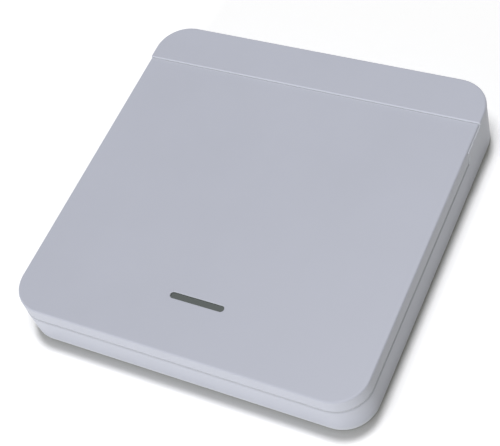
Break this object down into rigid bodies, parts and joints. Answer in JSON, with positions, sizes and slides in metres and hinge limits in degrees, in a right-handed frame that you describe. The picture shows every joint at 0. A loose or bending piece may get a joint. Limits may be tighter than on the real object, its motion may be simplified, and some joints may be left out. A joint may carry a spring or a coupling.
{
  "type": "wall push button",
  "caption": "Square wall push button plate with a hinged face, a fixed top strip and a slot-shaped indicator window, battery powered.",
  "frame": {"origin": "centre of the back face, on the wall", "axes": "+Z out of the wall through the face, +Y up the wall towards the fixed strip, +X to the right"},
  "size_m": [0.086, 0.086, 0.013],
  "materials": {
    "white_plastic": "satin moulded",
    "base_plastic": "matte moulded",
    "smoky_window": "smooth",
    "black_plastic": "matte moulded",
    "chip_black": "matte moulded",
    "capacitor_tan": "fired",
    "board_green": "solder mask",
    "led_white": "smooth",
    "cell_steel": "satin",
    "tinned_steel": "tinned",
    "screw_steel": "zinc plated",
    "spring_steel": "drawn wire",
    "can_nickel": "nickel plated",
    "contact_brass": "nickel-tinted strip",
    "coil_copper": "enamelled copper wire"
  },
  "bodies": {
    "base": {"frame_shell": "white_plastic", "back_plate": "base_plastic", "circuit_board": "board_green", "board_screws": "screw_steel", "switch_base": "black_plastic", "switch_cover": "tinned_steel", "switch_terminals": "tinned_steel", "switch_dome": "spring_steel", "indicator_led": "led_white", "coin_cell": "cell_steel", "battery_holder": "black_plastic", "battery_contact_negative": "contact_brass", "battery_contact_positive": "contact_brass", "control_chip": "chip_black", "control_chip_pins": "tinned_steel", "radio_chip": "chip_black", "radio_chip_pins": "tinned_steel", "crystal_can": "can_nickel", "antenna_coil": "coil_copper", "resistors": "chip_black", "capacitors": "capacitor_tan", "return_spring_right": "spring_steel", "return_spring_left": "spring_steel"},
    "rocker": {"rocker_cap": "white_plastic", "light_window": "smoky_window"},
    "plunger": {"switch_plunger": "black_plastic"}
  },
  "joints": [
    {"name": "rocker_hinge", "type": "hinge", "parent": "base", "child": "rocker", "pos_m": [0, 0.028, 0.0102], "axis": [1, 0, 0], "range_deg": [0, 0.3], "stiffness_Nm_per_rad": 6, "springref_deg": -0.11, "deforming": ["return_spring_right", "return_spring_left"]},
    {"name": "plunger_slide", "type": "slide", "parent": "base", "child": "plunger", "axis": [0, 0, -1], "range_m": [0, 0.00026], "stiffness_N_per_m": 0.05, "springref_m": -0.0044, "deforming": ["switch_dome"]}
  ],
  "couplings": [
    {"joint": "plunger_slide", "follows": "rocker_hinge", "m_per_rad": 0.048}
  ]
}
